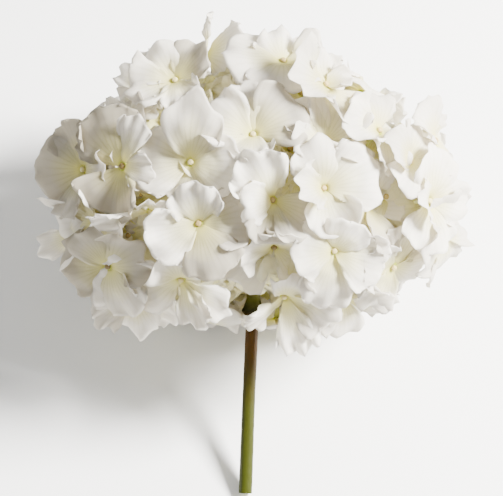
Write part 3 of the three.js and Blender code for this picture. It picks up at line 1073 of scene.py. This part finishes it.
def stem_material():
    """Yellow green at the cut, reddish brown below the dark node, and olive under the head, lighter there
    with painted light where the petals shade it.
    """
    look = Look("stem")
    place = look.node("TexCoord").outputs["Object"]
    shifted = look.maths("MULTIPLY_ADD", look.noise(70.0, 3.0, Vector=place), STEM_DRIFT, look.mark("along"))
    body = look.ramp(look.maths("SUBTRACT", shifted, STEM_DRIFT / 2), STEM_STOPS_AND_CROWN_LIGHT)
    fine = look.noise(900.0, 3.0, Vector=place)
    body = look.mix(look.maths("MULTIPLY", fine, FLECK_SHARE), body, STEM_FLECK)
    stripe = look.maths("SINE", look.maths("MULTIPLY", look.mark("fan"), STRIPE_PACE))
    relief = look.maths("MULTIPLY_ADD", stripe, 0.25, fine)
    return look.finish(look.surface(body, relief, 0.18, 0.2 * MM, Roughness=0.5, Specular_IOR_Level=0.12))


def pith_material():
    """The cut face: pale spongy pith in a green rim."""
    look = Look("pith")
    spots = look.node("TexVoronoi", Scale=1800.0).outputs["Distance"]
    body = look.mix(spots, look.ramp(look.mark("depth"), PITH_STOPS), PITH_SPOTS)
    return look.finish(look.surface(body, spots, 0.5, 0.3 * MM, Roughness=0.7))


def table_material():
    look = Look("table")
    return look.finish(
        look.node("BsdfPrincipled", Base_Color=TABLE_COLOUR, Roughness=0.8, Specular_IOR_Level=0.1)
    )


# ---- stem and rays


def smoothed(values, width):
    """A running mean that leaves the two ends where they are."""
    out = values.copy()
    kernel = np.ones(width) / width
    out[width // 2 : -(width // 2)] = np.convolve(values, kernel, "valid")
    return out


def stem_relief(outward, angles, share):
    """How far the stem's skin stands out or in, as a share of its radius."""
    relief = RIDGE_HEIGHT * np.sin(RIDGES * angles[None] + RIDGE_TURN * share[:, None])
    by_node = np.exp(-(((share - NODE_PLACE) / NODE_REACH) ** 2))[:, None]
    relief = relief + SCAR_HEIGHT * by_node * np.abs(outward[..., 0]) ** 5
    for index in np.ndindex(relief.shape):
        turn, place = angles[index[1]], share[index[0]]
        spot = Vector((math.cos(turn), math.sin(turn), place * LUMPS))
        relief[index] += LUMP_HEIGHT * noise.noise(spot) + GRAIN_HEIGHT * noise.noise(spot * 4)
    return relief


def stem_line(rings, share):
    """The stem's middle line and radius at some shares of its length."""
    centres = np.array([centre for centre, _ in rings])
    radii = np.array([radius for _, radius in rings])
    steps = np.linalg.norm(np.diff(centres, axis=0), axis=1)
    travelled = np.concatenate([[0], np.cumsum(steps)])
    place = share * travelled[-1]
    line = [smoothed(np.interp(place, travelled, centres[:, i]), PATH_SMOOTHING) for i in range(3)]
    return np.column_stack(line), smoothed(np.interp(place, travelled, radii), RADIUS_SMOOTHING)


def build_stem(rings, materials):
    """The stem, with low ridges, leaf scars at the node and a slightly hollow cut face."""
    share = np.linspace(0, 1, STEM_RINGS)
    path, radius = stem_line(rings, share)
    skin = tube_points(path, radius, STEM_SIDES).reshape(STEM_RINGS, STEM_SIDES, 3) - path[:, None]
    outward = skin / np.linalg.norm(skin, axis=2, keepdims=True)
    angles = ring_angles(STEM_SIDES)
    skin = skin * (1 + stem_relief(outward, angles, share))[..., None]
    inwards = unit(path[1] - path[0])
    cut = [skin[0] * reach + inwards * CUT_HOLLOW * (1 - reach**2) for reach in CUT_SHARES]
    skin = np.concatenate([np.array(cut), skin])
    path = np.concatenate([np.repeat(path[:1], len(cut), axis=0), path])
    share = np.concatenate([np.zeros(len(cut)), share])
    from_pith = np.concatenate([CUT_SHARES, np.ones(STEM_RINGS)])
    shell = Shell()
    shell.add(
        (path[:, None] + skin).reshape(-1, 3),
        tube_faces(len(path), STEM_SIDES),
        0,
        along=np.repeat(share, STEM_SIDES),
        fan=np.tile(angles / math.pi, len(path)),
        depth=np.repeat(from_pith, STEM_SIDES),
    )
    # The faces that touch a ring of the cut face are pith.
    cut_points = len(cut) * STEM_SIDES
    shell.materials = [int(min(face) < cut_points) for face in shell.faces]
    piece = shell.build("real_stem", materials)
    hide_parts("stem")


def smooth_copy(node, material):
    """A smooth copy of a faceted CAD node."""
    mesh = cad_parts[node].data.copy()
    work = bmesh.new()
    work.from_mesh(mesh)
    bmesh.ops.remove_doubles(work, verts=work.verts[:], dist=WELD)
    work.to_mesh(mesh)
    work.free()
    mesh.materials.clear()
    mesh.materials.append(material)
    mesh.polygons.foreach_set("use_smooth", [True] * len(mesh.polygons))
    piece = bpy.data.objects.new("real_" + node, mesh)
    bpy.context.collection.objects.link(piece)
    rounder = piece.modifiers.new("rounder", "SUBSURF")
    rounder.levels = rounder.render_levels = RAY_SMOOTHING
    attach(piece, BODY)
    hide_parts(node)


# ---- stage, light and camera


def aim(thing, target, up):
    """Points an object's -Z at a target, with its Y towards up."""
    back = (Vector(thing.location) - Vector(target)).normalized()
    right = Vector(up).cross(back).normalized()
    matrix = thing.matrix_world.to_3x3()
    matrix.col[0], matrix.col[1], matrix.col[2] = right, back.cross(right), back
    thing.rotation_euler = matrix.to_euler()


def add_light(name, location, target, size, power, colour):
    data = bpy.data.lights.new(name, "AREA")
    data.shape = "DISK"
    data.size = size
    data.energy = power
    data.color = colour
    light = bpy.data.objects.new(name, data)
    light.location = location
    bpy.context.collection.objects.link(light)
    aim(light, target, (0, 0.3, 1))


def build_table():
    half = TABLE_SIDE / 2
    corners = [(-half, -half, 0), (half, -half, 0), (half, half, 0), (-half, half, 0)]
    mesh = bpy.data.meshes.new("table_top")
    mesh.from_pydata(corners, [], [(0, 1, 2, 3)])
    mesh.materials.append(table_material())
    floor = bpy.data.objects.new("table_top", mesh)
    bpy.context.collection.objects.link(floor)


def build_camera(picture, middle):
    data = bpy.data.cameras.new("camera")
    data.sensor_width = SENSOR_WIDTH
    data.lens = SENSOR_WIDTH * VIEW_DISTANCE / VIEW_WIDTH
    camera = bpy.data.objects.new("camera", data)
    camera.location = middle + picture.back * VIEW_DISTANCE
    bpy.context.collection.objects.link(camera)
    aim(camera, middle, picture.up)
    bpy.context.scene.camera = camera


def build_lights(picture, middle):
    """A bright soft light from the right and above, a weak one from the left, and a pale sky."""
    right, up, back = picture.right, picture.up, picture.back
    from_right = middle + 0.85 * right + 0.45 * up + 0.7 * back
    from_left = middle - 0.7 * right + 0.1 * up + 0.6 * back
    add_light("key", from_right, middle, 0.4, 125.0, (1.0, 0.985, 0.95))
    add_light("fill", from_left, middle, 0.9, 2.0, (0.96, 0.98, 1.0))
    world = bpy.data.worlds.new("studio")
    world.use_nodes = True
    sky = world.node_tree.nodes["Background"]
    sky.inputs["Color"].default_value = (1.0, 1.0, 1.0, 1)
    sky.inputs["Strength"].default_value = SKY
    bpy.context.scene.world = world


def build_stage(picture, cut):
    """The table, the camera and the lights, which all aim at the middle of the picture."""
    low, high = (np.array(corner) for corner in cad_box)
    middle = (low + high) / 2
    middle = middle + picture.up * (VIEW_UP - (middle - cut) @ picture.up) + picture.right * VIEW_SIDE
    build_table()
    build_camera(picture, middle)
    build_lights(picture, middle)


# ---- the whole flower


def build_head(stem, picture):
    """The florets that stand for CAD nodes, and the layers of smaller ones behind them."""
    petal, bud, stalk = petal_material(), bud_material(), stalk_material()
    outer = [read_floret(node, 11 + 13 * i) for i, node in enumerate(nodes_named("floret"))]
    outline = Outline(outer)
    feet = np.array([floret.foot for floret in outer])
    layers = [filling_florets(filling, outline, feet, stem) for filling in FILLINGS]
    rng = np.random.default_rng(5)
    ranks = {floret.name: rng.uniform(-RANK_RANGE, RANK_RANGE) for floret in sum(layers, outer)}
    setting = Setting(outline, picture, ranks, [petal, bud, stalk])
    for floret in outer:
        piece = build_floret(floret, outer, setting, PETAL_ROWS, PETAL_COLUMNS)
        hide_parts(floret.name)
    for layer in layers:
        for floret in layer:
            build_floret(floret, layer, setting, INNER_ROWS, INNER_COLUMNS)
    for node in nodes_named("ray"):
        smooth_copy(node, stalk)


rings = stem_rings()
stem_centres = [centre for centre, _ in rings]
picture = read_picture(stem_centres[0], stem_centres[-1])
build_stage(picture, stem_centres[0])
build_head(stem_centres, picture)
build_stem(rings, [stem_material(), pith_material()])
